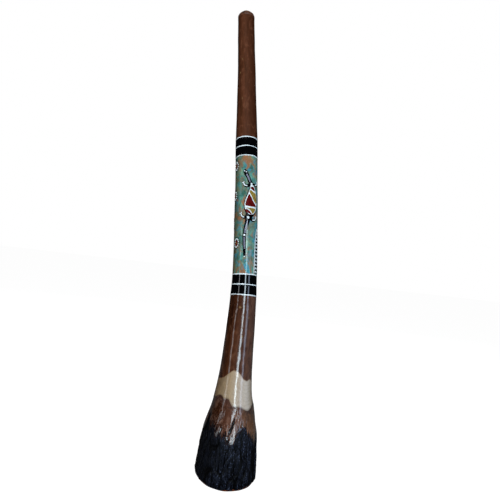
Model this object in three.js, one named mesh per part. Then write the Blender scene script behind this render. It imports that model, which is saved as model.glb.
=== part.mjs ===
// A didgeridoo made from one hollow eucalyptus log: a long leaning trunk, a flared bell cut from the tree's
// base, a beeswax mouthpiece ring, and a painted waist. Millimetres, +Z up. The bell's rim is the flat foot.
//
// The bell is carved through the layers of the tree, so each layer is a sleeve of its own round the one below:
// heartwood, sapwood, inner bark and outer bark. Paint is a thin coat round the heartwood.
// The heartwood is one log. It is parted square to its axis into short lengths, so that each is a simple tube.
//
// Places on the log are given by a turn (0 faces -Y, growing towards +X) and a height along the log.
import * as THREE from "three";

// Driving dimensions
const LENGTH = 1291;
const WAX_HEIGHT = 15;
const WOOD_TOP = LENGTH - WAX_HEIGHT;
const GAP = 0.3; // between any two neighbours
const SIDES = 36;
const RIM_CENTRE = new THREE.Vector3(21.7, -47.8, 0); // puts the origin under the middle of the whole log

// The bend of the log's axis: height, sideways place, backward place
const AXIS = [
  [0, 0, 0],
  [100, 0, 4.6],
  [155, 0.8, 9.6],
  [190, -1, 13],
  [370, -2.5, 36],
  [490, -7, 54],
  [640, -20.5, 75.5],
  [880, -46, 104.5],
  [1080, -68.5, 125.5],
  [LENGTH, -94.2, 146.1],
];

// The carved outside of the log: height, radius
const OUTSIDE = [
  [0, 75],
  [15, 76],
  [40, 74.1],
  [80, 70.7],
  [110, 67],
  [165, 54],
  [190, 48.5],
  [215, 44.8],
  [250, 41.8],
  [300, 39.3],
  [440, 35.4],
  [490, 33.2],
  [640, 32.6],
  [760, 31.5],
  [880, 31.6],
  [940, 30.3],
  [1080, 27.2],
  [1160, 25.9],
  [LENGTH, 25.7],
];

// The hollow: height, radius
const BORE = [
  [0, 50],
  [80, 45],
  [200, 32],
  [300, 27],
  [440, 23.5],
  [640, 21.5],
  [900, 19.5],
  [1150, 17.5],
  [LENGTH, 17.5],
];

// Paint
const COAT = 0.5;
const LINE_WIDTH = 3;
const UPPER_LINES = [883, 856, 828];
const LOWER_LINES = [495, 468, 441];
const RELIEF = 0.4; // thickness of the painting on top of the base coat
const ROUNDEL = { halfWidth: 9.5, halfHeight: 13 };
const ROUNDEL_PLACES = [
  [-62, 800],
  [-70, 714],
  [-96, 637],
  [-51, 579],
];

// The lengths of the heartwood above its bell: name, and the height where each starts
const HEARTWOOD_LENGTHS = [
  ["heartwood_foot", 290],
  ["heartwood_waist_low", LOWER_LINES[1]],
  ["heartwood_waist_high", 662],
  ["heartwood_shoulder", UPPER_LINES[1]],
  ["heartwood_mouth_end", 1066],
];
const BELL_TOP = HEARTWOOD_LENGTHS[0][1];

// Where each layer of the tree ends on the carved surface: mean height, rise and fall, waves round, start
const SAPWOOD_EDGE = { mean: 238, rise: 12, waves: 2, start: 0 };
const INNER_BARK_EDGE = { mean: 178, rise: 10, waves: 2, start: -45 };
const OUTER_BARK_EDGE = { mean: 116, rise: 9, waves: 4, start: 37 };

// Radius of the joins between the layers at the rim, and the step where a layer ends
const HEARTWOOD_RIM = 55;
const SAPWOOD_RIM = 60.5;
const INNER_BARK_RIM = 65.5;
const EDGE_STEP = 1.3;

const COLOURS = {
  heartwood: 0x4b2c1c,
  sapwood: 0xa5947c,
  innerBark: 0x5c3018,
  outerBark: 0x1b1c22,
  beeswax: 0x3a2216,
  black: 0x0b0b0d,
  white: 0xd5dde0,
  teal: 0x4a8079,
  red: 0x5a0b0a,
};

const degrees = THREE.MathUtils.degToRad;
const mix = THREE.MathUtils.lerp;

// A smooth curve through rows of [height, value, ...]: the value in a column at a height, and its slope there.
// The curve starts level, so that the rim is square to the floor.
function smooth(rows, column, height) {
  const last = rows.length - 1;
  const at = THREE.MathUtils.clamp(height, rows[0][0], rows[last][0]);
  let low = 0;
  while (low < last - 1 && at > rows[low + 1][0]) low++;
  const slopeAt = (index) => {
    if (index === 0) return 0;
    const before = rows[index - 1];
    const after = rows[Math.min(index + 1, last)];
    return (after[column] - before[column]) / (after[0] - before[0]);
  };
  const span = rows[low + 1][0] - rows[low][0];
  const t = (at - rows[low][0]) / span;
  const [start, end] = [rows[low][column], rows[low + 1][column]];
  const [startPull, endPull] = [slopeAt(low) * span, slopeAt(low + 1) * span];
  const rise = end - start;
  const bend = startPull + endPull - 2 * rise;
  const swing = 3 * rise - 2 * startPull - endPull;
  return {
    value: start + t * (startPull + t * (swing + t * bend)),
    slope: (startPull + t * (2 * swing + t * 3 * bend)) / span,
  };
}

const outside = (height) => smooth(OUTSIDE, 1, height).value;
const bore = (height) => smooth(BORE, 1, height).value;
const edgeHeight = (edge, turn) => edge.mean + edge.rise * Math.cos(edge.waves * (turn - degrees(edge.start)));

// The point at a radius from the log's axis, in the plane that cuts the log square at a height
function onLog(radius, turn, height) {
  const side = smooth(AXIS, 1, height);
  const back = smooth(AXIS, 2, height);
  const along = new THREE.Vector3(side.slope, back.slope, 1).normalize();
  const across = new THREE.Vector3(1, 0, 0).addScaledVector(along, -along.x).normalize();
  const away = new THREE.Vector3().crossVectors(along, across);
  return new THREE.Vector3(side.value, back.value, height)
    .addScaledVector(across, radius * Math.sin(turn))
    .addScaledVector(away, -radius * Math.cos(turn));
}

// Moves every vertex of a geometry to the place that a function gives for it
function reshape(geometry, placeOf) {
  const spots = geometry.getAttribute("position");
  for (let index = 0; index < spots.count; index++) {
    const place = placeOf(new THREE.Vector3().fromBufferAttribute(spots, index), index);
    spots.setXYZ(index, place.x, place.y, place.z);
  }
  geometry.computeVertexNormals();
  return geometry;
}

function piece(name, geometry, colour, roughness) {
  const material = new THREE.MeshStandardMaterial({ color: colour, roughness, metalness: 0 });
  const mesh = new THREE.Mesh(geometry, material);
  mesh.name = name;
  return mesh;
}

// A closed ring round the log. outlineAt gives its outline as [radius, height] pairs at one turn, up the
// outside and down the inside, with the same number of pairs at every turn.
function sleeve(outlineAt) {
  const first = outlineAt(0);
  const outline = [...first, first[0]].map(([radius, height]) => new THREE.Vector2(radius, height));
  return reshape(new THREE.LatheGeometry(outline, SIDES), (_, index) => {
    const turn = ((Math.floor(index / outline.length) % SIDES) / SIDES) * 2 * Math.PI;
    const row = (index % outline.length) % first.length;
    const [radius, height] = outlineAt(turn)[row];
    return onLog(radius, turn, height);
  });
}

const steps = (count) => Array.from({ length: count + 1 }, (_, index) => index / count);

// The join under a layer: straight in section from the rim up to the layer's edge on the carved surface
function join(edge, rimRadius, turn, spread) {
  const top = edgeHeight(edge, turn);
  const topRadius = outside(top) - EDGE_STEP;
  const heights = steps(5).map((share) => share * top);
  return heights.map((height) => [mix(rimRadius, topRadius, height / top) + spread, height]);
}

// The wide foot of the heartwood, inside the sapwood, with the wide part of the hollow
function bellOutline(turn) {
  const edge = edgeHeight(SAPWOOD_EDGE, turn) + GAP;
  const under = join(SAPWOOD_EDGE, HEARTWOOD_RIM, turn, 0);
  const ledge = [under.at(-1)[0], edge];
  const carved = steps(2).map((share) => mix(edge, BELL_TOP, share));
  const hollow = [BELL_TOP, 240, 200, 160, 120, 80, 40, 0];
  return [
    ...under.slice(0, -1),
    ledge,
    ...carved.map((height) => [outside(height), height]),
    ...hollow.map((height) => [bore(height), height]),
  ];
}

// A plain length of the hollow log
function lengthOutline(from, to) {
  const heights = steps(8).map((share) => mix(from, to, share));
  const carved = heights.map((height) => [outside(height), height]);
  const hollow = heights.map((height) => [bore(height), height]);
  return [...carved, ...hollow.reverse()];
}

function buildHeartwood() {
  const bell = piece("heartwood_bell", sleeve(bellOutline), COLOURS.heartwood, 0.3);
  const lengths = HEARTWOOD_LENGTHS.map(([name, start], index) => {
    const next = HEARTWOOD_LENGTHS[index + 1];
    const outline = lengthOutline(start + GAP, next ? next[1] : WOOD_TOP);
    return piece(name, sleeve(() => outline), COLOURS.heartwood, 0.3);
  });
  return [bell, ...lengths];
}

// A layer between two joins, with a strip of carved surface where it shows
function layerOutline(turn, lower, upper) {
  const foot = join(upper.edge, upper.rim, turn, 0);
  const start = edgeHeight(upper.edge, turn) + GAP;
  const top = edgeHeight(lower.edge, turn);
  const shown = steps(3).map((share) => mix(start, top, share));
  const inner = join(lower.edge, lower.rim, turn, GAP).reverse();
  return [
    ...foot.slice(0, -1),
    [foot.at(-1)[0], start],
    ...shown.map((height) => [outside(height), height]),
    ...inner,
  ];
}

function outerBarkOutline(turn) {
  const top = edgeHeight(OUTER_BARK_EDGE, turn);
  const rim = [0, 6, 15, 40].map((height) => [outside(height), height]);
  const upper = [0.55, 0.78, 1].map((share) => [outside(share * top), share * top]);
  return [...rim, ...upper, ...join(OUTER_BARK_EDGE, INNER_BARK_RIM, turn, GAP).reverse()];
}

function buildLog() {
  const sapwood = { edge: SAPWOOD_EDGE, rim: HEARTWOOD_RIM };
  const innerBark = { edge: INNER_BARK_EDGE, rim: SAPWOOD_RIM };
  const outerBark = { edge: OUTER_BARK_EDGE, rim: INNER_BARK_RIM };
  return [
    ...buildHeartwood(),
    piece("sapwood_layer", sleeve((turn) => layerOutline(turn, sapwood, innerBark)), COLOURS.sapwood, 0.35),
    piece("inner_bark_layer", sleeve((turn) => layerOutline(turn, innerBark, outerBark)), COLOURS.innerBark, 0.4),
    piece("outer_bark", sleeve(outerBarkOutline), COLOURS.outerBark, 0.6),
  ];
}

// The wax is a rounded bead on the end of the wood, with a skirt pressed into the bore
function buildMouthpiece() {
  const foot = WOOD_TOP + GAP;
  const outer = outside(WOOD_TOP) + 0.2;
  const plug = bore(WOOD_TOP) - GAP;
  const hole = 15;
  const roundness = 7.5;
  const bead = steps(5).map((share) => {
    const angle = (share * Math.PI) / 2;
    return [outer - roundness * (1 - Math.cos(angle)), LENGTH - roundness * (1 - Math.sin(angle))];
  });
  const outline = [
    [plug, foot],
    [outer, foot],
    ...bead,
    [hole + 1.5, LENGTH],
    [hole, LENGTH - 2],
    [hole, WOOD_TOP - 8],
    [plug - 1, WOOD_TOP - 16],
    [plug, WOOD_TOP - 16],
  ];
  return piece("beeswax_mouthpiece", sleeve(() => outline), COLOURS.beeswax, 0.45);
}

// A coat of paint all round the log between two heights
function coat(name, from, to, colour) {
  const heights = steps(Math.max(1, Math.round((to - from) / 40))).map((share) => mix(from, to, share));
  const skin = (spread) => heights.map((height) => [outside(height) + spread, height]);
  const outline = [...skin(GAP + COAT), ...skin(GAP).reverse()];
  return piece(name, sleeve(() => outline), colour, 0.4);
}

// One group of rings: three white lines with a black band between each two
function buildBands(prefix, lines) {
  const half = LINE_WIDTH / 2;
  const rings = lines.map((height, index) =>
    coat(`${prefix}_white_line_${index + 1}`, height - half, height + half, COLOURS.white),
  );
  const bands = [1, 2].map((index) =>
    coat(
      `${prefix}_black_band_${index}`,
      lines[index] + half + GAP,
      lines[index - 1] - half - GAP,
      COLOURS.black,
    ),
  );
  return [...rings, ...bands];
}

// A place on top of the base coat: how far round from a turn, in millimetres, how high, and how far out
function onPanel(turn, across, height, level) {
  const base = outside(height) + 2 * GAP + COAT;
  return onLog(base + level * RELIEF, turn + across / base, height);
}

function buildRoundels() {
  const outline = [
    [0, 0],
    [0.5, 0],
    [1, 0],
    [1, 1],
    [0.5, 1],
    [0, 1],
  ].map(([radius, level]) => new THREE.Vector2(radius, level));
  return ROUNDEL_PLACES.map(([turn, height], index) => {
    const disc = reshape(new THREE.LatheGeometry(outline, 20), (spot) =>
      onPanel(degrees(turn), spot.x * ROUNDEL.halfWidth, height - spot.z * ROUNDEL.halfHeight, spot.y),
    );
    return piece(`roundel_${index + 1}`, disc, COLOURS.red, 0.4);
  });
}

// A ribbon of paint that follows a route over the panel: rows of [height, middle, half width], top first
function ribbon(route, count, columns) {
  const rows = [...route].reverse();
  const [bottom, top] = [rows[0][0], rows.at(-1)[0]];
  return reshape(new THREE.BoxGeometry(1, 1, 1, columns, count, 1), (spot) => {
    const height = mix(bottom, top, spot.y + 0.5);
    const middle = smooth(rows, 1, height).value;
    const half = smooth(rows, 2, height).value;
    return onPanel(0, middle + 2 * spot.x * half, height, spot.z + 0.5);
  });
}

function buildPanel() {
  const half = LINE_WIDTH / 2 + GAP;
  const [low, high] = [LOWER_LINES[0] + half, UPPER_LINES[2] - half];
  const strip = [
    [622, 40, 3],
    [590, 44, 12],
    [540, 43.5, 14.5],
    [low + 1, 43, 15],
  ];
  const figure = [
    [786, -6, 3],
    [752, 10, 6],
    [724, 20, 14],
    [690, 16.5, 19],
    [652, 7, 8],
    [600, -4, 5],
    [540, -3, 2],
  ];
  return [
    coat("panel_base_coat", low, high, COLOURS.teal),
    piece("dotted_strip", ribbon(strip, 8, 8), COLOURS.black, 0.4),
    piece("painted_figure", ribbon(figure, 24, 12), COLOURS.red, 0.4),
    ...buildRoundels(),
  ];
}

const didgeridoo = new THREE.Group();
didgeridoo.name = "didgeridoo";
didgeridoo.position.copy(RIM_CENTRE);
didgeridoo.add(
  ...buildLog(),
  buildMouthpiece(),
  ...buildBands("upper", UPPER_LINES),
  ...buildBands("lower", LOWER_LINES),
  ...buildPanel(),
);

export default didgeridoo;
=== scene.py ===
"""A didgeridoo made from one hollow eucalyptus log, standing on its bell on a pale floor.

The log is described straight first: a turn round it in radians, 0 towards the front (-Y) and growing
towards +X, and a height along it in millimetres. on_log() bends that into place, in metres. Every mesh
carries its place on the straight log as attributes, from which the materials take their grain.
"""

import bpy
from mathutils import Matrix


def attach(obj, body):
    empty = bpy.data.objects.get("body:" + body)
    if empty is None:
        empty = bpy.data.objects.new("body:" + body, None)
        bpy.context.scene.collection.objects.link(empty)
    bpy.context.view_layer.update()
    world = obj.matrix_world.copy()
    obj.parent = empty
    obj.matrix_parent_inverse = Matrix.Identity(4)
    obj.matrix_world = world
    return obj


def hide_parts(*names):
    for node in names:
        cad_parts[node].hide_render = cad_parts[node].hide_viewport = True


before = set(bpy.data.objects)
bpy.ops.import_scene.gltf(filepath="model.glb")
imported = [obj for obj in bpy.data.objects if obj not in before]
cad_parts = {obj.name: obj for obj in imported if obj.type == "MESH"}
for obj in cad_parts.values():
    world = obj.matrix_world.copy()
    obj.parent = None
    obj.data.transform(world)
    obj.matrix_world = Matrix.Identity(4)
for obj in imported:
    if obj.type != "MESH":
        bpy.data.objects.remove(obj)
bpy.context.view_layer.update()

import math

import bmesh
import bpy
import numpy as np
from mathutils import Matrix, Vector

# ---------------------------------------------------------------- the log

TAU = 2 * math.pi
MM = 0.001

# The whole length, the height where the wood ends and the wax starts, and where the middle of the rim is
LENGTH = 1291
WOOD_TOP = 1276
RIM_CENTRE = (21.7, -47.8)

# The bend of the log's axis: height, sideways place, backward place
AXIS = [
    (0, 0, 0), (100, 0, 4.6), (155, 0.8, 9.6), (190, -1, 13),
    (370, -2.5, 36), (490, -7, 54), (640, -20.5, 75.5), (880, -46, 104.5),
    (1080, -68.5, 125.5), (LENGTH, -94.2, 146.1),
]

# The carved outside of the log: height, radius
OUTSIDE = [
    (0, 71), (6, 74.5), (15, 76), (40, 74.1), (80, 70.7), (110, 67),
    (165, 54), (190, 48.5), (215, 44.8), (250, 41.8), (300, 39.3), (440, 35.4),
    (490, 33.2), (640, 32.6), (760, 31.5), (880, 31.6), (940, 30.3), (1080, 27.2),
    (1160, 25.9), (LENGTH, 25.7),
]

# The hollow: height, radius
BORE = [
    (0, 50), (80, 45), (200, 32), (300, 27), (440, 23.5), (640, 21.5),
    (900, 19.5), (1150, 17.5), (LENGTH, 17.5),
]

# Where each layer of the tree ends on the carved surface: turn in degrees, height
SAPWOOD_TOP = [
    (-165, 238), (-110, 228), (-62, 231), (-40, 236), (-22, 247), (-4, 256),
    (12, 250), (30, 237), (44, 233), (56, 236), (80, 231), (130, 243),
]
INNER_BARK_TOP = [
    (-150, 178), (-92, 184), (-62, 188), (-40, 193), (-26, 188), (-12, 188),
    (-2, 176), (10, 173), (22, 172), (38, 164), (52, 166), (74, 174),
    (120, 183),
]
OUTER_BARK_TOP = [
    (-160, 112), (-120, 125), (-90, 104), (-78, 106), (-66, 136), (-56, 140),
    (-48, 116), (-40, 130), (-30, 114), (-12, 113), (0, 108), (10, 106),
    (20, 122), (32, 134), (44, 112), (54, 100), (66, 96), (80, 112),
    (120, 124), (150, 106),
]

# Radius of the joins between the layers at the rim, and how thin a layer is where it ends
HEARTWOOD_RIM = 55
SAPWOOD_RIM = 60.5
INNER_BARK_RIM = 65.5
EDGE_STEP = 1.3

# The white lines' width and heights, and the painted panel between the two groups of them
LINE_WIDTH = 3
UPPER_LINES = (883, 856, 828)
LOWER_LINES = (495, 468, 441)
PANEL = (LOWER_LINES[0] + LINE_WIDTH / 2, UPPER_LINES[2] - LINE_WIDTH / 2)

# Unevenness is a sum of layers of noise: depth in mm, cells round the log, height of a cell in mm, seed
TOOL_MARKS = [(0.55, 5, 85, 11), (0.3, 11, 31, 12), (0.08, 19, 15, 13)]
SAPWOOD_WAVER = [(1.2, 24, 1, 21)]
INNER_BARK_WAVER = [(1.2, 30, 1, 22)]
TORN_BARK = [(5, 34, 1, 23), (5.5, 71, 1, 24), (3, 140, 1, 25)]
TERMITE_MARKS = [(0.9, 14, 22, 31), (0.4, 37, 9, 32)]
INNER_BARK_STREAKS = [(0.35, 90, 17, 41), (0.25, 44, 11, 42)]
BARK_LUMPS = [(0.9, 60, 19, 54), (0.5, 130, 7, 55)]

# The table behind the noise: its rows, and the row at height 0
NOISE_ROWS = 128
NOISE_START = 7


def smooth(rows, column, height):
    """A smooth curve through rows of (height, value, ...): its value and slope. It starts level."""
    rows = np.asarray(rows, float)
    heights, values = rows[:, 0], rows[:, column]
    last = len(rows) - 1
    after = np.minimum(np.arange(last + 1) + 1, last)
    before = np.maximum(np.arange(last + 1) - 1, 0)
    slopes = (values[after] - values[before]) / (heights[after] - heights[before])
    slopes[0] = 0
    at = np.clip(height, heights[0], heights[-1])
    low = np.clip(np.searchsorted(heights, at) - 1, 0, last - 1)
    span = heights[low + 1] - heights[low]
    t = (at - heights[low]) / span
    rise = values[low + 1] - values[low]
    first, final = slopes[low] * span, slopes[low + 1] * span
    bend = first + final - 2 * rise
    swing = 3 * rise - 2 * first - final
    value = values[low] + t * (first + t * (swing + t * bend))
    return value, (first + t * (2 * swing + 3 * t * bend)) / span


def outside(height):
    return smooth(OUTSIDE, 1, height)[0]


def bore(height):
    return smooth(BORE, 1, height)[0]


def round_log(rows, turn):
    """The height, at each turn, of a smooth closed line round the log through rows of (degrees, height)."""
    around = [(degrees + lap, height) for lap in (-360, 0, 360) for degrees, height in rows]
    degrees = (np.degrees(turn) + 180) % 360 - 180
    return smooth(around, 1, degrees)[0]


def noise(turn, height, cells, cell_height, seed):
    """Smooth chance values from -1 to 1: so many cells round the log, each cell_height mm high."""
    table = np.random.default_rng(seed).uniform(-1, 1, (cells, NOISE_ROWS))
    across = (turn / TAU) % 1 * cells
    along = height / cell_height + NOISE_START
    column, row = np.floor(across).astype(int), np.floor(along).astype(int)
    u, v = across - column, along - row
    u, v = u * u * (3 - 2 * u), v * v * (3 - 2 * v)

    def corner(right, up):
        return table[(column + right) % cells, (row + up) % NOISE_ROWS]

    low = corner(0, 0) * (1 - u) + corner(1, 0) * u
    high = corner(0, 1) * (1 - u) + corner(1, 1) * u
    return low * (1 - v) + high * v


def uneven(layers, turn, height):
    """The sum of several layers of noise, in millimetres."""
    return sum(depth * noise(turn, height, *cells_and_seed) for depth, *cells_and_seed in layers)


def on_log(radius, turn, height):
    """The place at a radius from the log's axis, in the plane that cuts the log square at a height."""
    radius, turn, height = np.broadcast_arrays(*(np.asarray(a, float) for a in (radius, turn, height)))
    side, side_slope = smooth(AXIS, 1, height)
    back, back_slope = smooth(AXIS, 2, height)
    along = np.stack([side_slope, back_slope, np.ones_like(side_slope)], -1)
    along /= np.linalg.norm(along, axis=-1, keepdims=True)
    across = np.array([1.0, 0, 0]) - along * along[..., :1]
    across /= np.linalg.norm(across, axis=-1, keepdims=True)
    away = np.cross(along, across)
    axis = np.stack([side + RIM_CENTRE[0], back + RIM_CENTRE[1], height], -1)
    sideways = across * (radius * np.sin(turn))[..., None]
    forwards = away * (radius * np.cos(turn))[..., None]
    return MM * (axis + sideways - forwards)


def surface(turn, height):
    """The radius of the carved surface, a little uneven from the hand tools."""
    return outside(height) + uneven(TOOL_MARKS, turn, height)


def sapwood_top(turn):
    return round_log(SAPWOOD_TOP, turn) + uneven(SAPWOOD_WAVER, turn, 0)


def inner_bark_top(turn):
    return round_log(INNER_BARK_TOP, turn) + uneven(INNER_BARK_WAVER, turn, 0)


def outer_bark_top(turn):
    return round_log(OUTER_BARK_TOP, turn) + uneven(TORN_BARK, turn, 0)


# ---------------------------------------------------------------- meshes

# Vertices closer than this are one, in metres. Faces that meet at less than this angle are shaded as one.
SAME_PLACE = 1e-8
SMOOTH_UP_TO = math.radians(40)


def make_piece(name, parts, material, replaces=()):
    """One object from grids. Each grid has its places and its attributes.

    A grid wraps round both ways, or is a closed spindle if its first and last rows are single points.
    """
    places, faces, start = [], [], 0
    values = {key: [] for key in parts[0][1]}
    for grid, attributes in parts:
        rows, columns = grid.shape[:2]
        index = start + np.arange(rows * columns).reshape(rows, columns)
        up, right = np.roll(index, -1, 0), np.roll(index, -1, 1)
        quads = np.stack([index, right, np.roll(up, -1, 1), up], -1)
        pointed = np.ptp(grid[0], axis=0).max() < SAME_PLACE
        faces.append((quads[:-1] if pointed else quads).reshape(-1, 4))
        places.append(grid.reshape(-1, 3))
        for key in values:
            shape = grid.shape[:2] + np.shape(attributes[key])[2:]
            values[key].append(np.broadcast_to(attributes[key], shape).reshape(rows * columns, -1))
        start += rows * columns
    mesh = bpy.data.meshes.new(name)
    mesh.from_pydata(np.concatenate(places).tolist(), [], np.concatenate(faces).tolist())
    for key, blocks in values.items():
        block = np.concatenate(blocks)
        kind, field_name = ("FLOAT_VECTOR", "vector") if block.shape[1] == 3 else ("FLOAT", "value")
        attribute = mesh.attributes.new(key, kind, "POINT")
        attribute.data.foreach_set(field_name, block.ravel().astype(np.float32))
    merge_points(mesh)
    mesh.materials.append(MATERIALS[material])
    mesh.shade_smooth()
    mesh.set_sharp_from_angle(angle=SMOOTH_UP_TO)
    piece = bpy.data.objects.new(name, mesh)
    bpy.context.scene.collection.objects.link(piece)
    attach(piece, "root")
    if replaces:
        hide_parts(*replaces)


def merge_points(mesh):
    shape = bmesh.new()
    shape.from_mesh(mesh)
    bmesh.ops.remove_doubles(shape, verts=shape.verts, dist=SAME_PLACE)
    shape.to_mesh(mesh)
    shape.free()


def grid_on_log(radius, turn, height, **attributes):
    """A grid of places on the log, with what the materials need to know of each: straight and side."""
    radius, turn, height = np.broadcast_arrays(*(np.asarray(a, float) for a in (radius, turn, height)))
    straight = np.stack([radius * np.sin(turn), -radius * np.cos(turn), height], -1)
    return on_log(radius, turn, height), {"straight": straight, "side": np.sin(turn), **attributes}


def turns(count):
    """Evenly spaced turns once round the log, as one row of a grid."""
    return np.arange(count)[None, :] * TAU / count


def shares(count):
    """Shares from 0 to 1 in so many steps, as one column of a grid."""
    return np.linspace(0, 1, count + 1)[:, None]


def between(low, high, count):
    return low + (high - low) * shares(count)


def stack(*blocks):
    """Joins [radius, height] blocks of rows, one above the other, into one closed outline."""
    columns = max(np.shape(part)[1] for block in blocks for part in block)
    radius = np.concatenate([np.broadcast_to(r, (max(len(r), len(h)), columns)) for r, h in blocks])
    height = np.concatenate([np.broadcast_to(h, (max(len(r), len(h)), columns)) for r, h in blocks])
    return radius, height


# How many rows of faces a hidden join has, and how much of the hollow's mouth end is calm, in mm
JOIN_ROWS = 8
CALM_LENGTH = 60


def layer_join(top_of, rim, turn):
    """The hidden face under a layer: straight in section, from the rim up to the layer's edge."""
    top = top_of(turn)
    top_radius = surface(turn, top) - EDGE_STEP
    share = shares(JOIN_ROWS)
    return rim + (top_radius - rim) * share, top * share


def hollow(turn, top, bottom, count):
    """The inside of the log, rough where the termites ate it and smoother at the mouth end."""
    height = between(top, bottom, count) + 0 * turn
    roughness = np.clip((LENGTH - height) / CALM_LENGTH, 0.1, 1)
    return bore(height) + uneven(TERMITE_MARKS, turn, height) * roughness, height


# ---------------------------------------------------------------- materials


def colour(code):
    """An sRGB hex code as the linear colour that shaders use."""
    parts = [int(code[i : i + 2], 16) / 255 for i in (0, 2, 4)]
    return tuple(((c + 0.055) / 1.055) ** 2.4 if c > 0.04045 else c / 12.92 for c in parts) + (1,)


# How far apart the starts of two seeds' noise are, sideways, backwards and up
SEED_STRIDES = (7.3, 3.1, 5.7)


class Finish:
    """One procedural material. Its methods add nodes and give back their outputs."""

    def __init__(self, name, **constants):
        self.material = bpy.data.materials.new(name)
        self.material.use_nodes = True
        self.tree = self.material.node_tree
        self.shader = self.tree.nodes["Principled BSDF"]
        for key, value in constants.items():
            self.shader.inputs[key.replace("_", " ")].default_value = value
        self.straight = self.add("Attribute", {}, attribute_name="straight").outputs["Vector"]
        self.height = self.add("SeparateXYZ", {"Vector": self.straight}).outputs["Z"]

    def add(self, kind, inputs, **settings):
        node = self.tree.nodes.new("ShaderNode" + kind)
        for key, value in settings.items():
            setattr(node, key, value)
        for key, value in inputs.items():
            if isinstance(value, bpy.types.NodeSocket):
                self.tree.links.new(value, node.inputs[key])
            else:
                node.inputs[key].default_value = value
        return node

    def attribute(self, name):
        return self.add("Attribute", {}, attribute_name=name).outputs["Fac"]

    def times(self, first, second):
        return self.add("Math", {0: first, 1: second}, operation="MULTIPLY").outputs[0]

    def plus(self, first, second):
        return self.add("Math", {0: first, 1: second}, operation="ADD").outputs[0]

    def waves(self, value, count):
        """A sine of the value, count radians for each unit of it."""
        return self.add("Math", {0: self.times(value, count)}, operation="SINE").outputs[0]

    def spread(self, value, low, high, to_low=0.0, to_high=1.0):
        """The value's range from low to high, drawn out over to_low to to_high and cut off beyond."""
        inputs = {"Value": value, "From Min": low, "From Max": high, "To Min": to_low, "To Max": to_high}
        return self.add("MapRange", inputs, clamp=True).outputs["Result"]

    def noise(self, across, along, detail=3, roughness=0.55, twist=0.0, seed=0):
        """Noise on the straight log in cells of across by along millimetres. Each seed starts elsewhere."""
        cells = (1 / across, 1 / across, 1 / along)
        start = [seed * stride for stride in SEED_STRIDES]
        scale = self.add("VectorMath", {0: self.straight, 1: cells, 2: start}, operation="MULTIPLY_ADD")
        inputs = {"Vector": scale.outputs[0], "Scale": 1.0, "Detail": detail, "Roughness": roughness}
        return self.add("TexNoise", {**inputs, "Distortion": twist}).outputs["Fac"]

    def ramp(self, factor, *stops):
        """Colours by factor: stops of (position, hex code)."""
        node = self.add("ValToRGB", {"Fac": factor})
        elements = node.color_ramp.elements
        while len(elements) < len(stops):
            elements.new(0.5)
        for element, (position, code) in zip(elements, stops):
            element.position = position
            element.color = colour(code)
        return node.outputs["Color"]

    def blend(self, factor, first, second, mode="MIX"):
        inputs = {0: factor, 6: first, 7: second}
        return self.add("Mix", inputs, data_type="RGBA", blend_type=mode).outputs[2]

    def over(self, base, factor, code, mode="MIX"):
        """A colour laid over a base by factor."""
        return self.blend(factor, base, colour(code), mode)

    def two_tone(self, factor, first, second):
        """Two colours mixed by factor."""
        return self.blend(factor, colour(first), colour(second))

    def bump(self, height, distance, strength=1.0):
        """A bump whose full height is distance millimetres."""
        inputs = {"Height": height, "Distance": distance * MM, "Strength": strength}
        return self.add("Bump", inputs).outputs["Normal"]

    def set(self, socket, value):
        self.tree.links.new(value, self.shader.inputs[socket])


VARNISH = {"Specular_IOR_Level": 0.0, "Coat_Weight": 1.0, "Coat_Roughness": 0.09, "Coat_IOR": 1.5}
THIN_VARNISH = {**VARNISH, "Coat_Weight": 0.6}
BLACK = "010102"


def heartwood(name, light, dark, grey, pale, **constants):
    """Brown heartwood: soft fibres, darker bands and blotches, pores and small knots.

    Its right is painted in the light that falls there, paler and greyer on the varnished wood and darker on
    the bare wood, and its far left is painted in shade.
    """
    f = Finish(name, **constants)
    side = f.attribute("side")
    bands = f.noise(12, 120, twist=0.9, seed=1)
    fibres = f.noise(1.5, 26, detail=5, roughness=0.62, twist=0.3, seed=2)
    patches = f.noise(11, 22, detail=4, roughness=0.6, twist=0.7, seed=3)
    pores = f.noise(0.8, 7, detail=2, seed=4)
    wood = f.two_tone(f.spread(bands, 0.32, 0.68), dark, light)
    # Painted light on the right: greyer and paler for the varnished wood, darker for the bare wood. Painted
    # shade at the far left.
    wood = f.over(wood, f.spread(side, -0.35, 1.0, 0.0, 0.75), grey)
    wood = f.over(wood, f.spread(side, -0.55, -1.0, 0.0, 0.5), "1c0a03")
    wood = f.over(wood, f.spread(fibres, 0.38, 0.68, 0.34, 0.0), dark, "MULTIPLY")
    wood = f.over(wood, f.spread(patches, 0.5, 0.68, 0.0, 0.5), dark)
    wood = f.over(wood, f.spread(patches, 0.46, 0.34, 0.0, 0.35), pale)
    wood = f.over(wood, f.spread(pores, 0.64, 0.72, 0.0, 0.5), "1c0d07")
    wood = f.over(wood, f.attribute("knot"), "94764e")
    f.set("Base Color", wood)
    f.set("Roughness", f.spread(fibres, 0.3, 0.7, 0.42, 0.6))
    f.set("Normal", f.bump(f.plus(fibres, pores), 0.12, 0.6))
    f.set("Coat Normal", f.bump(f.noise(10, 24, detail=4, roughness=0.6, seed=27), 0.5))
    return f.material


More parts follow.
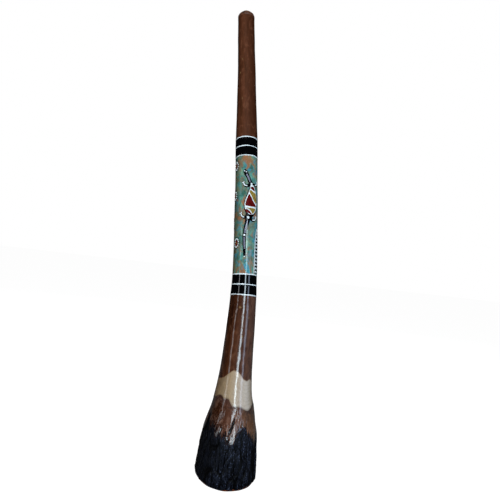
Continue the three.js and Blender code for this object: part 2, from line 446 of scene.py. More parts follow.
def sapwood():
    """Cream sapwood: nested growth lines that follow the carved edge. Painted shade makes it browner on the
    left, and painted light makes it paler and greyer on the right.
    """
    f = Finish("sapwood", **VARNISH)
    waver = f.noise(14, 10, seed=5)
    share = f.attribute("share")
    rings = f.waves(f.plus(share, f.times(waver, 0.3)), 46.0)
    fibres = f.noise(1.0, 16, detail=4, roughness=0.6, seed=6)
    patches = f.noise(13, 20, twist=0.5, seed=7)
    side = f.attribute("side")
    # Painted light and shade: darker and browner on the left, in shade, and paler and greyer on the right,
    # where the light falls.
    shaded_left_tones = [(0.0, "5e4222"), (0.2, "7e6b52"), (0.42, "9f8c73")]
    lit_right_tones = [(0.65, "b4a79b"), (0.85, "c8beb4"), (1.0, "a08c76")]
    wood = f.ramp(f.spread(side, -1.0, 1.0), *shaded_left_tones, *lit_right_tones)
    tan = f.times(f.spread(patches, 0.4, 0.7), f.spread(side, 0.0, 0.5, 0.45, 0.15))
    wood = f.over(wood, tan, "a68a68")
    wood = f.over(wood, f.spread(rings, 0.2, 1.0, 0.0, 0.17), "6f5c44")
    wood = f.over(wood, f.spread(fibres, 0.4, 0.7, 0.3, 0.0), "85705a")
    wood = f.over(wood, f.spread(share, 0.0, 0.07, 0.75, 0.0), "4a3a32")
    wood = f.over(wood, f.spread(share, 0.95, 1.0, 0.0, 0.7), "6e4a30")
    f.set("Base Color", wood)
    f.set("Roughness", f.spread(patches, 0.3, 0.7, 0.35, 0.5))
    f.set("Coat Normal", f.bump(f.noise(10, 20, detail=4, seed=8), 0.5))
    return f.material


def inner_bark():
    """Red-brown inner bark: curved grain at its top, streaks and pits lower down, black at its foot. Painted
    shade darkens its left, patches of its upper right and the deep parts of its pits; its right is painted
    lighter where the light falls.
    """
    f = Finish("inner_bark", **VARNISH)
    share = f.attribute("share")
    waver = f.noise(12, 16, seed=9)
    rings = f.waves(f.plus(share, f.times(waver, 0.26)), 105.0)
    streaks = f.noise(2.6, 24, detail=4, roughness=0.65, twist=0.4, seed=10)
    patches = f.noise(9, 14, detail=4, roughness=0.6, twist=0.7, seed=11)
    side = f.attribute("side")
    # Painted light and shade: darker on the left, in shade, and lighter on the right, where the light falls.
    shaded_left_tones = [(0.0, "2e1403"), (0.3, "3e1d09"), (0.52, "6c4636")]
    lit_right_tones = [(0.8, "74523e"), (1.0, "664224")]
    wood = f.ramp(f.spread(side, -1.0, 1.0), *shaded_left_tones, *lit_right_tones)
    drips = f.noise(1.5, 17, roughness=0.5, seed=26)
    grain = f.times(f.spread(rings, -0.2, 1.0), f.spread(side, 0.2, -0.5, 0.15, 0.6))
    wood = f.over(wood, grain, "24100a")
    wood = f.over(wood, f.spread(streaks, 0.4, 0.66, 0.5, 0.0), "22100a")
    wood = f.over(wood, f.spread(patches, 0.52, 0.7, 0.0, 0.5), "7e5c4c")
    low_down = f.spread(share, 0.55, 0.2, 0.0, 0.6)
    wood = f.over(wood, f.times(f.spread(drips, 0.52, 0.68), low_down), "937466")
    wood = f.over(wood, f.spread(share, 0.75, 1.0, 0.0, 0.5), "43302c")
    # Painted shade: dull dark grey patches on the upper right of the layer.
    shade = f.times(f.spread(side, 0.4, 0.62, 0.0, 0.8), f.spread(share, 0.5, 0.85))
    wood = f.over(wood, f.times(shade, f.spread(patches, 0.62, 0.42)), "2b2628")
    # Painted shade: the deep parts of the pits are painted near black.
    wood = f.over(wood, f.attribute("pit"), "050405")
    torn = f.plus(share, f.times(f.plus(streaks, -0.5), 0.9))
    wood = f.over(wood, f.spread(torn, 0.03, 0.2, 1.0, 0.0), "06060a")
    f.set("Base Color", wood)
    f.set("Roughness", f.spread(streaks, 0.3, 0.7, 0.35, 0.6))
    f.set("Normal", f.bump(f.plus(streaks, patches), 0.5))
    f.set("Coat Normal", f.bump(f.noise(6, 13, detail=4, seed=12), 0.6))
    return f.material


def outer_bark():
    """Black furrowed bark, with brown chips along the rim. Its ridge tops carry painted blue-grey highlights
    and glints, most of all on its right, and its furrows are painted black as shade.
    """
    f = Finish("outer_bark", Specular_IOR_Level=0.0, Coat_Weight=0.22, Coat_Roughness=0.28, Roughness=0.5)
    ridges = f.noise(3.0, 22, detail=5, roughness=0.7, twist=0.5, seed=13)
    crumbs = f.noise(2.0, 3.2, detail=4, roughness=0.65, seed=14)
    chips = f.noise(17, 5, seed=15)
    below = f.attribute("below")
    side = f.attribute("side")
    # Painted highlights: ridge tops a lighter blue-grey, with paler crumbs and glints on them towards the
    # right, where the light falls.
    wood = f.two_tone(f.spread(ridges, 0.42, 0.66), BLACK, "0f121b")
    lit = f.times(f.spread(side, -0.6, 0.15, 0.05, 1.0), f.spread(ridges, 0.36, 0.56, 0.1, 1.0))
    wood = f.over(wood, f.times(f.spread(crumbs, 0.52, 0.64), lit), "3c455c")
    wood = f.over(wood, f.times(f.spread(crumbs, 0.6, 0.72), lit), "6c758c")
    # Painted shade: the furrows are painted black by how deep they are.
    wood = f.over(wood, f.spread(f.attribute("furrow"), 0.05, 0.45), BLACK)
    torn = f.plus(below, f.times(f.plus(ridges, -0.5), 26.0))
    wood = f.over(wood, f.spread(torn, 0.0, 5.0, 0.5, 0.0), "2c1912")
    rim = f.plus(f.height, f.spread(chips, 0.42, 0.62, 9.0, -1.0))
    wood = f.over(wood, f.spread(rim, 3.5, 5.5, 1.0, 0.0), "7c3f1c")
    f.set("Base Color", wood)
    rough = f.bump(f.plus(ridges, f.times(crumbs, 0.6)), 1.6)
    f.set("Normal", rough)
    f.set("Coat Normal", rough)
    return f.material


def paint(name, main, other, grain, **constants):
    """Brushed acrylic paint in one colour, with faint strokes: grain is their width and length in mm."""
    f = Finish(name, **constants)
    strokes = f.noise(*grain, detail=4, roughness=0.6, seed=16)
    f.set("Base Color", f.two_tone(f.spread(strokes, 0.4, 0.68), main, other))
    f.set("Normal", f.bump(strokes, 0.08))
    return f.material


def panel_paint():
    """The waist's base coat: dabs of teal, blue, green, ochre brown and taupe, dragged along the log."""
    f = Finish("panel_paint", Roughness=0.42, **THIN_VARNISH)
    side = f.attribute("side")
    main = f.noise(19, 30, detail=4, roughness=0.58, twist=0.6, seed=17)
    blue = f.noise(18, 24, detail=4, roughness=0.58, twist=0.9, seed=18)
    brown = f.noise(20, 30, detail=4, roughness=0.55, twist=0.9, seed=28)
    taupe = f.noise(22, 30, detail=4, roughness=0.6, twist=0.5, seed=20)
    dabs = f.noise(2.4, 5, seed=21)
    coat = f.ramp(main, (0.36, "38594a"), (0.46, "467f76"), (0.54, "579a90"), (0.63, "86a98a"))
    coat = f.over(coat, f.spread(taupe, 0.46, 0.62, 0.0, 0.75), "80765f")
    bluer = f.plus(f.times(side, 0.03), f.spread(f.height, 720, 810, 0.0, -0.05))
    coat = f.over(coat, f.spread(f.plus(blue, bluer), 0.52, 0.63, 0.0, 0.9), "3a93ad")
    browner = f.plus(f.times(side, -0.02), f.spread(f.height, 740, 800, 0.0, 0.005))
    low_left = f.times(f.spread(f.height, 560, 510, 0.0, 0.035), f.spread(side, 0.0, -0.4))
    brown = f.plus(brown, f.plus(browner, low_left))
    coat = f.over(coat, f.spread(brown, 0.5, 0.64, 0.0, 0.9), "a4663f")
    coat = f.over(coat, f.spread(dabs, 0.42, 0.7, 0.42, 0.0), "34493f")
    # Painted shade: darker olive at the far left and darker teal at the far right.
    coat = f.over(coat, f.spread(side, -0.45, -1.0, 0.0, 0.7), "3c3a20")
    coat = f.over(coat, f.spread(side, 0.85, 1.0, 0.0, 0.5), "2c4a48")
    f.set("Base Color", coat)
    f.set("Normal", f.bump(f.plus(dabs, main), 0.18))
    f.set("Coat Normal", f.bump(f.noise(9, 30, detail=2, seed=22), 0.12))
    return f.material


def field_paint():
    """Dark red or ochre, by the tone of each field."""
    f = Finish("field_paint", Roughness=0.45, **VARNISH)
    dabs = f.noise(1.6, 3.2, seed=23)
    red = f.two_tone(f.spread(dabs, 0.35, 0.7), "3a0606", "6e1514")
    ochre = f.two_tone(f.spread(dabs, 0.35, 0.7), "6a561c", "a8904a")
    f.set("Base Color", f.blend(f.attribute("tone"), red, ochre))
    f.set("Normal", f.bump(dabs, 0.15))
    return f.material


def beeswax():
    """Dark brown wax, thumbed smooth, with sooty smudges."""
    f = Finish("beeswax", Roughness=0.45)
    smudge = f.noise(7, 5, seed=24)
    wax = f.ramp(smudge, (0.4, "4e2c1c"), (0.52, "613c2a"), (0.62, "3c1d12"))
    f.set("Base Color", f.blend(f.attribute("soot"), wax, colour("080506")))
    f.set("Normal", f.bump(f.noise(4, 3, detail=2, seed=25), 0.4))
    return f.material


MATERIALS = {
    # The third colour of each is the painted light on the log's right: darker for the bare wood, paler and
    # greyer for the varnished wood.
    "bare": heartwood("heartwood_satin", "643925", "432310", "38190a", "734934", Specular_IOR_Level=0.12),
    "varnished": heartwood("heartwood_gloss", "55301c", "2c1208", "6b5046", "704a36", **VARNISH),
    "sapwood": sapwood(),
    "inner_bark": inner_bark(),
    "outer_bark": outer_bark(),
    "beeswax": beeswax(),
    "black": paint("black_paint", BLACK, "040406", (3, 24), Roughness=0.4, **VARNISH),
    "white": paint("white_paint", "e2ebee", "bccad0", (3, 3), Roughness=0.4, **THIN_VARNISH),
    "grey": paint("grey_paint", "8a8b9a", "65667a", (3, 3), Roughness=0.4, **VARNISH),
    "panel": panel_paint(),
    "field": field_paint(),
}

# ---------------------------------------------------------------- the wood

# How many columns of faces go round the log, and round its wide foot
LOG_COLUMNS = 256
BELL_COLUMNS = 420

# How many rows of faces the shown side of each length and layer has
FOOT_ROWS = 110
WAIST_ROWS = 110
UPPER_ROWS = 170
SAPWOOD_ROWS = 60
INNER_BARK_ROWS = 80
OUTER_BARK_ROWS = 110
PANEL_ROWS = 130
BAND_ROWS = 16
LINE_ROWS = 8

# Marks: turn in degrees, height, half width and half height in mm, strength
KNOTS = [
    (-9, 408, 3.4, 1.9, 0.75),
    (10, 337, 2.0, 3.0, 0.6),
    (-28, 1129, 1.2, 2.4, 0.7),
    (-44, 1087, 1.4, 2.8, 0.7),
    (31, 384, 1.6, 2.4, 0.4),
    (-26, 1003, 1.4, 3.0, 0.4),
]
SOOT = [
    (-18, 1284, 3.6, 2.2, 0.95),
    (-62, 1283, 4.0, 3.0, 0.7),
    (24, 1288, 3.6, 2.0, 0.5),
    (-34, 1286.5, 2.6, 1.8, 0.4),
    (150, 1284, 5.0, 2.6, 0.7),
]


def turn_from(degrees, turn):
    """How far each turn is from one given in degrees, the short way round."""
    return (turn - math.radians(degrees) + math.pi) % TAU - math.pi


def spots(marks, turn, height):
    """How strongly small round marks show at each place, 0 to 1."""
    found = np.zeros(np.broadcast(turn, height).shape)
    for degrees, middle, half_width, half_height, strength in marks:
        across = turn_from(degrees, turn) * outside(middle) / half_width
        up = (height - middle) / half_height
        found = np.maximum(found, strength * np.exp(-((across**2 + up**2) ** 1.5)))
    return found


def make_trunk():
    """The heartwood's waist and upper length. The bands of paint and the wax cover their ends."""
    turn = turns(LOG_COLUMNS)
    cuts = (LOWER_LINES[1], UPPER_LINES[1], WOOD_TOP)
    lengths = (
        ("trunk_waist", "varnished", WAIST_ROWS, ("heartwood_waist_low", "heartwood_waist_high")),
        ("trunk_upper", "bare", UPPER_ROWS, ("heartwood_shoulder", "heartwood_mouth_end")),
    )
    for (name, material, rows, nodes), low, high in zip(lengths, cuts, cuts[1:]):
        height = between(low, high, rows) + 0 * turn
        radius, height = stack((surface(turn, height), height), hollow(turn, high, low, rows // 2))
        grid = grid_on_log(radius, turn, height, knot=spots(KNOTS, turn, height))
        make_piece(name, [grid], material, nodes)


def make_layers():
    """The log's foot, cut through the layers of the tree, each a ring round the one inside it."""
    turn = turns(BELL_COLUMNS)
    height = between(sapwood_top(turn), LOWER_LINES[1], FOOT_ROWS)
    radius, height = stack(
        layer_join(sapwood_top, HEARTWOOD_RIM, turn),
        (surface(turn, height), height),
        hollow(turn, LOWER_LINES[1], 0, FOOT_ROWS),
    )
    grid = grid_on_log(radius, turn, height, knot=spots(KNOTS, turn, height))
    make_piece("trunk_lower", [grid], "varnished", ("heartwood_bell", "heartwood_foot"))
    make_sapwood(turn)
    make_inner_bark(turn)
    make_outer_bark(turn)


def layer(turn, low_of, low_rim, top_of, top_rim, rows, carve):
    """The outline of a layer between two joins, and its share of the way up at each place."""
    low, top = low_of(turn), top_of(turn)
    height = between(low, top, rows)
    foot = layer_join(low_of, low_rim, turn)
    inner = layer_join(top_of, top_rim, turn)
    radius, heights = stack(foot, (carve(turn, height), height), (inner[0][::-1], inner[1][::-1]))
    return radius, heights, (heights - low) / (top - low)


def make_sapwood(turn):
    below, above = (inner_bark_top, SAPWOOD_RIM), (sapwood_top, HEARTWOOD_RIM)
    radius, height, share = layer(turn, *below, *above, SAPWOOD_ROWS, surface)
    grid = grid_on_log(radius, turn, height, share=share)
    make_piece("sapwood_belt", [grid], "sapwood", ("sapwood_layer",))


# Hollows in the inner bark: turn in degrees, height, half width and half height in mm, lean, depth
PITS = [
    (4, 133, 2.3, 15, 0.27, 4.0),
    (-1.5, 117, 1.8, 9, 0.05, 2.2),
    (-20, 120, 1.6, 9, 0.1, 1.6),
    (-31, 123, 1.6, 8, 0.1, 1.4),
    (27, 139, 1.6, 8, 0.1, 1.0),
    (-44, 132, 1.2, 8, -0.1, 0.8),
    (-70, 141, 1.6, 16, -0.06, 1.0),
    (38, 141, 1.4, 8, 0.0, 0.8),
    (17, 152, 1.2, 5, 0.1, 0.6),
    (-4, 172, 12, 1.3, 0.0, 0.9),
    (118, 150, 2.2, 12, 0.05, 1.4),
    (165, 140, 2.4, 9, -0.05, 1.2),
    (-125, 148, 2.2, 14, 0.08, 1.4),
]
SHALLOW = 0.25  # a pit is dark where it is deeper than this


def pit_depth(turn, height):
    """How deep the pits are at each place, in millimetres. Their sides are ragged."""
    depth = np.zeros(np.broadcast(turn, height).shape)
    ragged = 1 + 0.45 * noise(turn, height, 61, 5, 57)
    for degrees, middle, half_width, half_height, lean, deep in PITS:
        up = height - middle
        across = (turn_from(degrees, turn) * outside(middle) - lean * up) / (half_width * ragged)
        depth = np.maximum(depth, deep * np.exp(-(across**2) - (up / half_height) ** 4))
    return depth


def inner_bark_surface(turn, height):
    """The carved surface with fine streaks, which fade out towards both edges of the layer, and with pits."""
    top, low = inner_bark_top(turn), outer_bark_top(turn)
    away_from_edges = np.clip((top - height) / 12, 0, 1) * np.clip((height - low) / 4, 0, 1)
    streaks = uneven(INNER_BARK_STREAKS, turn, height) * away_from_edges
    return surface(turn, height) + streaks - pit_depth(turn, height)


def make_inner_bark(turn):
    below, above = (outer_bark_top, INNER_BARK_RIM), (inner_bark_top, SAPWOOD_RIM)
    radius, height, share = layer(turn, *below, *above, INNER_BARK_ROWS, inner_bark_surface)
    # How dark the pits are painted: painted shade where they are deeper than SHALLOW.
    pit = np.clip(pit_depth(turn, height) - SHALLOW, 0, 1)
    grid = grid_on_log(radius, turn, height, share=share, pit=pit)
    make_piece("inner_bark_belt", [grid], "inner_bark", ("inner_bark_layer",))


def furrows(turn, height):
    """How deep the bark is cleft, 0 to 1: long splits up the log, of several widths."""
    wander = 0.05 * noise(turn, height, 16, 40, 51)
    coarse = np.abs(noise(turn + wander, height, 38, 60, 52))
    fine = np.abs(noise(turn + wander, height, 103, 26, 53))
    return np.maximum(np.clip(1.15 - coarse / 0.16, 0, 1), 0.6 * np.clip(1 - fine / 0.25, 0, 1))


RIM_LEAN = 2.8  # the rim is rounded off more on its left than on its right
FURROW_DEPTH = 2.1
CHIP_DEPTH = 1.5
BARK_LIFT = 0.15
FULL_BARK = 22  # how far below its torn edge the bark is at its full thickness
NOT_TORN = 99  # how far below that edge the bark's hidden side counts as being


def bark_surface(turn, height, thick):
    """The furrowed outside of the bark, chipped at its rim. Where thin, it follows the carved surface."""
    off_rim = np.clip(height / 5, 0, 1)
    relief = 0.4 + uneven(BARK_LUMPS, turn, height) - FURROW_DEPTH * furrows(turn, height)
    chips = CHIP_DEPTH * np.clip(1 - height / 3, 0, 1) * np.clip(0.5 + noise(turn, 0, 21, 1, 56), 0, 1)
    lean = RIM_LEAN * np.clip(1 - height / 12, 0, 1) * np.sin(turn)
    return surface(turn, height) + BARK_LIFT + thick * off_rim * relief - chips + lean


def make_outer_bark(turn):
    top = outer_bark_top(turn)
    height = between(np.zeros_like(turn), top, OUTER_BARK_ROWS)
    below = top - height
    thick = np.clip(below / FULL_BARK, 0, 1)
    inner = layer_join(outer_bark_top, INNER_BARK_RIM, turn)
    radius, heights = stack((bark_surface(turn, height, thick), height), (inner[0][::-1], inner[1][::-1]))
    hidden = np.zeros((len(inner[0]), turn.shape[1]))
    below = np.concatenate([below, hidden + NOT_TORN])
    # How deep each place is cleft, which the material paints black as shade.
    furrow = np.concatenate([furrows(turn, height) * thick, hidden])
    grid = grid_on_log(radius, turn, heights, below=below, furrow=furrow)
    make_piece("bark", [grid], "outer_bark", ("outer_bark",))


WAX_BEAD = 7.5  # how round the bead's shoulder is
WAX_HOLE = 15
WAX_SKIRT = 16


def make_wax():
    """A rounded bead of wax on the end of the wood, with a skirt pressed into the bore."""
    turn = turns(LOG_COLUMNS)
    outer = surface(turn, WOOD_TOP) + 0.15
    plug = bore(WOOD_TOP) - 0.1
    angle = between(0, math.pi / 2, 8) + 0 * turn
    lumps = 0.35 * noise(turn, angle * 3, 13, 1, 61)
    flat = np.ones_like(turn)
    rows = (
        (plug * flat, WOOD_TOP * flat),
        ((outer - 0.6), WOOD_TOP * flat),
        (outer, (WOOD_TOP + 0.7) * flat),
        (outer - WAX_BEAD * (1 - np.cos(angle)) + lumps, LENGTH - WAX_BEAD * (1 - np.sin(angle)) + lumps),
        ((WAX_HOLE + 2) * flat, (LENGTH - 0.3) * flat),
        ((WAX_HOLE + 0.6) * flat, (LENGTH - 1.1) * flat),
        (WAX_HOLE * flat, (LENGTH - 3) * flat),
        (WAX_HOLE * flat, (WOOD_TOP - WAX_SKIRT / 2) * flat),
        ((plug - 1) * flat, (WOOD_TOP - WAX_SKIRT) * flat),
        (plug * flat, (WOOD_TOP - WAX_SKIRT) * flat),
    )
    radius, height = stack(*rows)
    grid = grid_on_log(radius, turn, height, soot=spots(SOOT, turn, height))
    make_piece("wax_ring", [grid], "beeswax", ("beeswax_mouthpiece",))


# ---------------------------------------------------------------- the paint


COAT_LIFT = 0.3  # how far a coat of paint stands off the wood
COAT_ROOT = 0.3  # how far it reaches into it, so that no gap shows
LINE_LIFT = 0.5


def hoop(name, low, top, lift, rows, material, slot, nodes, seed=0, wobble=0.0):
    """A coat of paint round the log between two heights, with edges that a steady hand left a little wavy."""
    turn = turns(LOG_COLUMNS)
    low = low + wobble * noise(turn, 0, 19, 1, seed) + 0 * turn
    top = top + wobble * noise(turn, 0, 19, 1, seed + 1) + 0 * turn
    height = between(low, top, rows)
    share = shares(rows)
    rounded = (1 - np.abs(2 * share - 1) ** 6) * lift
    outer = surface(turn, height) + rounded
    inner = surface(turn, height) - COAT_ROOT
    radius, height = stack((outer, height), (inner[::-1], height[::-1]))
    make_piece(name, [grid_on_log(radius, turn, height)], material, nodes)


def make_bands():
    for side, lines in (("upper", UPPER_LINES), ("lower", LOWER_LINES)):
        for index, height in enumerate(lines, 1):
            name = f"{side}_white_line_{index}"
            ring = name.replace("white_line", "white_ring")
            ends = (height - LINE_WIDTH / 2, height + LINE_WIDTH / 2)
            seed = 70 + 2 * index + len(side)
            hoop(ring, *ends, LINE_LIFT, LINE_ROWS, "white", "white_paint", (name,), seed=seed, wobble=0.45)
        for index in (1, 2):
            name = f"{side}_black_band_{index}"
            ends = (lines[index], lines[index - 1])
            hoop(name.replace("band", "hoop"), *ends, COAT_LIFT, BAND_ROWS, "black", "black_paint", (name,))


def on_panel(across, height, level):
    """A place on the panel: millimetres round from the front, height, and millimetres above the base coat."""
    turn = across / (outside(height) + 1)
    return surface(turn, height) + COAT_LIFT + level, turn, height


def stroke(path, half_width, thick=0.5, level=0.0, sides=14, step=1.4, flat=0.5, **attributes):
    """One brush stroke along a smooth path of (across, height) points, rounded at its ends.

    half_width is one number, or one for each point. A lower flat gives a squarer section.
    """
    path = np.asarray(path, float)
    widths = np.broadcast_to(np.asarray(half_width, float), len(path))
    lengths = np.concatenate([[0], np.cumsum(np.hypot(*np.diff(path, axis=0).T))])
    total = lengths[-1]
    count = max(8, int(total / step))
    closer_at_ends = (1 - np.cos(np.linspace(0, math.pi, count))) / 2
    along = total * closer_at_ends
    rows = np.column_stack([lengths, path, widths])
    middle = np.stack([smooth_line(rows, 1, along), smooth_line(rows, 2, along)], -1)
    ahead = np.gradient(middle, axis=0)
    ahead /= np.linalg.norm(ahead, axis=1, keepdims=True) + 1e-9
    sideways = np.stack([ahead[:, 1], -ahead[:, 0]], -1)
    width = smooth_line(rows, 3, along)
    from_end = np.clip(np.minimum(along, total - along) / np.maximum(width, 0.01), 0, 1)
    width = width * np.sqrt(np.clip(1 - (1 - from_end) ** 2, 0, 1))
    return lay(middle, sideways, width, thick, level, sides, flat, attributes)


def lay(middle, sideways, width, thick, level, sides, flat, attributes):
    """The rounded, flattened skin of a stroke round its middle line."""
    angle = np.arange(sides) * TAU / sides
    out = np.cos(angle)
    up = np.sign(np.sin(angle)) * np.abs(np.sin(angle)) ** flat
    across = middle[:, :1] + sideways[:, :1] * width[:, None] * out
    height = middle[:, 1:] + sideways[:, 1:] * width[:, None] * out
    lift = level + thick * up * np.clip(width / 0.6, 0, 1)[:, None]
    radius, turn, height = on_panel(across, height, lift)
    grid, found = grid_on_log(radius, turn, height)
    return grid, {**found, **{key: np.full(grid.shape[:2], value) for key, value in attributes.items()}}


def smooth_line(rows, column, at):
    """Like smooth(), with a free start: the curve leaves its first point at its own slope."""
    lead = rows[0] - (rows[1] - rows[0])
    return smooth(np.vstack([lead, rows]), column, at)[0]


def upright(across, height, reach):
    """A short path straight up the log."""
    return [(across, height - reach), (across, height), (across, height + reach)]


def dot(across, height, radius, thick=0.6, level=0.0):
    """A round dab of paint."""
    path = upright(across, height, radius * 0.98)
    return stroke(path, radius, thick, level, sides=12, step=radius / 3, flat=0.8)


# The lizard's middle line from nose to tail tip: across, height, half width
LIZARD = [
    (-6, 785.5, 1.8), (-2.5, 777, 4.8), (3.8, 765, 4.0), (9.2, 753, 4.2),
    (14, 742, 5.5), (18, 732, 8.5), (19.2, 718, 13.5), (18.3, 704, 17.7),
    (15.0, 686, 20.0), (12.5, 668, 16.5), (9.5, 657, 10.5), (6, 648, 7.0),
    (3, 634, 4.8), (-1, 618, 4.0), (-4, 598, 3.6), (-4, 576, 3.2),
    (-3, 556, 2.4), (-3, 540, 1.2),
]

# Each leg from the body to the foot: across, height
LEGS = [
    [(12, 743), (3, 737), (-5, 740), (-8, 746)],
    [(18, 743), (27, 742), (34, 745), (36, 751)],
    [(5, 652), (-5, 648), (-12, 652), (-15, 659)],
    [(9, 648), (18, 642), (27, 643), (31, 650)],
]

# The painted fields down its back: lower edge, upper edge, how far those slope up to the right, and the tone
FIELDS = [
    (726.6, 736.5, -0.3, 0.1, 0),
    (703.4, 724.0, -0.9, -0.25, 1),
    (678.2, 700.8, 0.05, -0.9, 0),
    (667.0, 675.8, -0.55, 0.05, 1),
    (658.2, 664.6, -0.2, -0.55, 0),
]
OUTLINE = 2.3  # how wide the white outline is

# Grey lines down its middle: upper end, lower end, half width
BONES = [(772, 749, 2.1), (640, 604, 1.9), (594, 562, 1.7)]

# White dots at its joints and eyes: across, height, radius, level
WHITE_DOTS = [
    (15.5, 744.5, 3.0, 0.2),
    (6, 648, 3.6, 0.2),
    (-4, 599, 3.0, 0.2),
    (-3, 541, 1.8, 0.2),
    (-5.6, 780.8, 1.9, 0.3),
    (0.2, 777.8, 1.9, 0.3),
]

# The heights between which the white outline goes round it
BODY_TOP, BODY_FOOT = 741, 657

TOE_LENGTH = 5
TOE_SPREAD = 0.75


def lizard_at(height):
    """The middle and half width of the lizard at a height."""
    rows = np.array([(-up, across, half) for across, up, half in LIZARD], float)
    return smooth_line(rows, 1, -height), smooth_line(rows, 2, -height)


def field(low, high, low_slope, high_slope, tone):
    """One painted field of the lizard's back, which keeps clear of the white outline."""
    share = shares(16)
    angle = np.arange(48)[None, :] * TAU / 48
    out, up = np.cos(angle), np.sin(angle)
    middle, half = lizard_at(low + (high - low) * share)
    slope = low_slope + (high_slope - low_slope) * share
    height = low + (high - low) * share + slope * out * half
    middle, half = lizard_at(height)
    taper = 1 - np.abs(2 * share - 1) ** 12
    across = middle + out * np.maximum(half - OUTLINE, 0.3) * taper
    level = 0.25 + 0.3 * np.sign(up) * np.abs(up) ** 0.4 * taper
    grid, found = grid_on_log(*on_panel(across, height, level))
    return grid, {**found, "tone": np.full(grid.shape[:2], tone)}


def make_foot(leg, black, white):
    """Two toes, spread from the end of a leg."""
    foot, ankle = np.array(leg[-1]), np.array(leg[-2])
    ahead = (foot - ankle) / math.dist(foot, ankle) * TOE_LENGTH
    for lean in (-TOE_SPREAD, TOE_SPREAD):
        cos, sin = math.cos(lean), math.sin(lean)
        turned = np.array((ahead[0] * cos - ahead[1] * sin, ahead[0] * sin + ahead[1] * cos))
        toe = [foot, foot + turned / 2, foot + turned]
        black.append(stroke(toe, [2.8, 2.6, 2.0], 0.25))
        white.append(stroke(toe, [1.3, 1.3, 1.0], 0.3, level=0.2, step=0.8))


def make_lizard():
    """A plain lizard: a black shape, white outlines, and red and ochre fields down its back."""
    points = [(across, up) for across, up, _ in LIZARD]
    black = [stroke(points, [half + 1.7 for _, _, half in LIZARD], 0.25, sides=48)]
    white, grey = [], []
    for leg in LEGS:
        black.append(stroke(leg, [5.0, 4.6, 3.8, 3.0], 0.25, sides=18))
        white.append(stroke(leg[1:], [1.3, 1.6, 1.4], 0.3, level=0.2))
        make_foot(leg, black, white)
    body = np.linspace(BODY_TOP, BODY_FOOT, 12)
    middle, half = lizard_at(body)
    half = np.maximum(half - 0.6, 0.4)
    white.append(stroke(np.column_stack([middle, body]), half, 0.3, level=0.12, sides=48))
    for start, stop, half in BONES:
        line = np.linspace(start, stop, 6)
        grey.append(stroke(np.column_stack([lizard_at(line)[0], line]), half, 0.3, level=0.2))
    white += [dot(across, height, radius, level=level) for across, height, radius, level in WHITE_DOTS]
    make_piece("lizard_shape", black, "black")
    make_piece("lizard_lines", white, "white")
    make_piece("lizard_bones", grey, "grey")
    fields = [field(*row) for row in FIELDS]
    make_piece("lizard_fields", fields, "field", ("painted_figure",))


# The dot rings: turn in degrees, height
ROUNDELS = [(-62, 800), (-70, 714), (-96, 637), (-51, 579)]
RING_HALF_WIDTH, RING_HALF_HEIGHT = 8, 11.5
RING_DOT = 1.8


def dot_ring(across, height, scale, count):
    """Dots evenly spaced in angle round an oval."""
    angles = (np.arange(count) + 0.5) * TAU / count
    places = across + RING_HALF_WIDTH * scale * np.sin(angles)
    heights = height + RING_HALF_HEIGHT * scale * np.cos(angles)
    return [dot(*centre, RING_DOT) for centre in zip(places, heights)]


def make_roundels():
    """Dot-ring motifs: a red oval with an ochre middle, white dots round it and black dots round those."""
    centres, white, black = [], [], []
    for degrees, height in ROUNDELS:
        across = math.radians(degrees) * (outside(height) + 1)
        centres.append(stroke(upright(across, height, 8), 5.3, 0.35, sides=20, tone=0))
        centres.append(stroke(upright(across, height, 2.4), 1.2, 0.35, level=0.25, tone=1))
        white += dot_ring(across, height, 1.0, 12)
        black += dot_ring(across, height, 1.4, 14)
    nodes = tuple(f"roundel_{index}" for index in (1, 2, 3, 4))
    make_piece("roundel_centres", centres, "field", nodes)
    make_piece("roundel_white_dots", white, "white")
    make_piece("roundel_black_dots", black, "black")


# The dotted strip: its left edge as (across, height), and its right, upper and lower ends
STRIP_LEFT = [(38.5, 621), (34.5, 605), (31.5, 587), (29.6, 561), (29, 534), (28.3, 512), (28, 498)]
STRIP_RIGHT = 58
STRIP_TOP, STRIP_FOOT = 621, 498
STRIP_ROWS = 60

# The dots on it: their radius, how far each column is from the left edge, and the height of each row
STRIP_DOT = 2.7
DOT_COLUMNS = np.arange(6.2, 34, 8.6)
DOT_HEIGHTS = np.arange(616, 499, -9.4)


def strip_edges(height):
    """Where the strip's left and right edges are at a height. It is cut off at a slant at its top."""
    rows = np.array([(-up, across) for across, up in STRIP_LEFT], float)
    left = smooth_line(rows, 1, -height)
    slant = left + 4 + (STRIP_TOP + 1 - height) * 0.9
    return left, np.minimum(STRIP_RIGHT, slant)


def make_strip():
    """A black strip with columns of white dots, and a pale line down its left edge."""
    heights = np.linspace(STRIP_TOP, STRIP_FOOT, STRIP_ROWS)
    left, right = strip_edges(heights)
    middle = np.column_stack([(left + right) / 2, heights])
    sideways = np.tile([1.0, 0.0], (STRIP_ROWS, 1))
    half = (right - left) / 2
    half[[0, -1]] = 0
    black = [lay(middle, sideways, half, 0.25, 0.0, 40, 0.3, {})]
    make_piece("strip_ground", black, "black", ("dotted_strip",))
    white = [stroke(STRIP_LEFT, 1.5, 0.35, level=0.1)]
    for height in DOT_HEIGHTS:
        left, right = (float(edge[0]) for edge in strip_edges(np.array([height])))
        fitting = left + DOT_COLUMNS[left + DOT_COLUMNS + 3 < right]
        white += [dot(across, height, STRIP_DOT, level=0.15) for across in fitting]
    make_piece("strip_line_and_dots", white, "white")


def make_paint():
    make_bands()
    nodes = ("panel_base_coat",)
    hoop("panel_coat", *PANEL, COAT_LIFT, PANEL_ROWS, "panel", "teal_paint", nodes, seed=90, wobble=0.3)
    make_lizard()
    make_roundels()
    make_strip()


# ---------------------------------------------------------------- stage

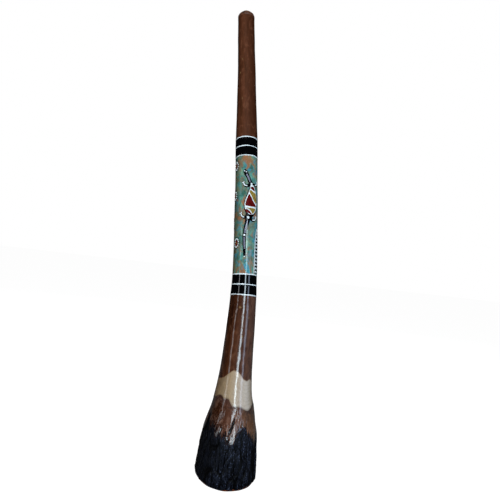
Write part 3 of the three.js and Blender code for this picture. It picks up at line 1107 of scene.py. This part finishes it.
CAMERA_PLACE = Vector((0.0211, -0.9501, 0.517))
CAMERA_PITCH = math.radians(2.9)
CAMERA_ROLL = math.radians(6.5)
CAMERA_LENS = 25.2
FILM_WIDTH = 36


def make_camera():
    forward = Vector((0, math.cos(CAMERA_PITCH), math.sin(CAMERA_PITCH)))
    level_up = Vector((0, -math.sin(CAMERA_PITCH), math.cos(CAMERA_PITCH)))
    level_right = Vector((1, 0, 0))
    right = level_right * math.cos(CAMERA_ROLL) + level_up * math.sin(CAMERA_ROLL)
    up = level_up * math.cos(CAMERA_ROLL) - level_right * math.sin(CAMERA_ROLL)
    data = bpy.data.cameras.new("camera")
    data.lens = CAMERA_LENS
    data.sensor_width = FILM_WIDTH
    data.clip_start = 0.01
    camera = bpy.data.objects.new("camera", data)
    turned = Matrix((right, up, -forward)).transposed().to_4x4()
    camera.matrix_world = Matrix.Translation(CAMERA_PLACE) @ turned
    bpy.context.scene.collection.objects.link(camera)
    bpy.context.scene.camera = camera


WARM_WHITE = (1.0, 0.99, 0.97)
LOG_MIDDLE = Vector((0.0, 0.0, 0.6))


def make_light(name, azimuth, distance, low, high, width, radiance, tint, glossy=True, diffuse=True):
    """A soft box azimuth degrees round from the front, between two heights.

    It stands upright where it shows in the varnish, and otherwise faces the log's middle.
    """
    angle = math.radians(azimuth)
    place = Vector((math.sin(angle) * distance, -math.cos(angle) * distance, (low + high) / 2))
    data = bpy.data.lights.new(name, "AREA")
    data.shape = "RECTANGLE"
    data.size, data.size_y = width, high - low
    data.energy = radiance * math.pi * width * (high - low)
    data.color = tint
    light = bpy.data.objects.new(name, data)
    facing = place - (Vector((0, 0, place.z)) if glossy else LOG_MIDDLE)
    light.matrix_world = Matrix.Translation(place) @ facing.to_track_quat("Z", "Y").to_matrix().to_4x4()
    light.visible_glossy = glossy
    light.visible_diffuse = diffuse
    light.visible_camera = False
    bpy.context.scene.collection.objects.link(light)


def make_lights():
    """Each has its azimuth, distance, low and high edge, width, radiance and tint."""
    make_light("key", -6, 2.6, 0.2, 2.4, 2.0, 3.6, WARM_WHITE, glossy=False)
    make_light("window_main", 12, 2.5, 0.0, 1.75, 0.46, 15, (0.74, 0.9, 1.0))
    make_light("window_left", -48, 2.5, 0.0, 1.32, 0.24, 5.5, (0.95, 0.96, 1.0))
    make_light("window_right", 46, 2.5, 0.0, 1.5, 0.5, 5.0, (0.6, 0.75, 1.0))
    make_light("back", 180, 2.6, 0.2, 2.4, 2.0, 3.0, WARM_WHITE, glossy=False)
    make_light("ceiling", -22, 2.2, 2.6, 4.2, 1.2, 2.0, (1.0, 0.97, 0.93), diffuse=False)


WHITE = (1, 1, 1, 1)
DIM_LIGHT = 0.015
FLOOR_GREY = (0.24, 0.24, 0.24, 1)
FLOOR_GLOW = 0.98


def make_world():
    """White behind the log, and a dim even light on it."""
    world = bpy.data.worlds.new("studio")
    world.use_nodes = True
    tree = world.node_tree
    seen = tree.nodes["Background"]
    seen.inputs["Color"].default_value = WHITE
    seen.inputs["Strength"].default_value = 1.0
    dim = tree.nodes.new("ShaderNodeBackground")
    dim.inputs["Color"].default_value = (0.9, 0.95, 1.0, 1)
    dim.inputs["Strength"].default_value = DIM_LIGHT
    rays = tree.nodes.new("ShaderNodeLightPath")
    mixed = tree.nodes.new("ShaderNodeMixShader")
    tree.links.new(rays.outputs["Is Camera Ray"], mixed.inputs["Fac"])
    tree.links.new(dim.outputs[0], mixed.inputs[1])
    tree.links.new(seen.outputs[0], mixed.inputs[2])
    tree.links.new(mixed.outputs[0], tree.nodes["World Output"].inputs["Surface"])
    bpy.context.scene.world = world


def make_floor():
    """A wide pale floor that takes a soft shadow. It glows, so that it meets the white behind it."""
    bpy.ops.mesh.primitive_plane_add(size=60, location=(0, 0, -0.0005))
    floor = bpy.context.object
    floor.name = "floor"
    f = Finish("floor", Base_Color=FLOOR_GREY, Roughness=1.0, Specular_IOR_Level=0.0, Emission_Color=WHITE)
    seen = f.add("LightPath", {}).outputs["Is Camera Ray"]
    f.set("Emission Strength", f.times(seen, FLOOR_GLOW))
    floor.data.materials.append(f.material)


make_camera()
make_trunk()
make_layers()
make_wax()
make_paint()
make_lights()
make_world()
make_floor()
bpy.context.scene.view_settings.view_transform = "Standard"
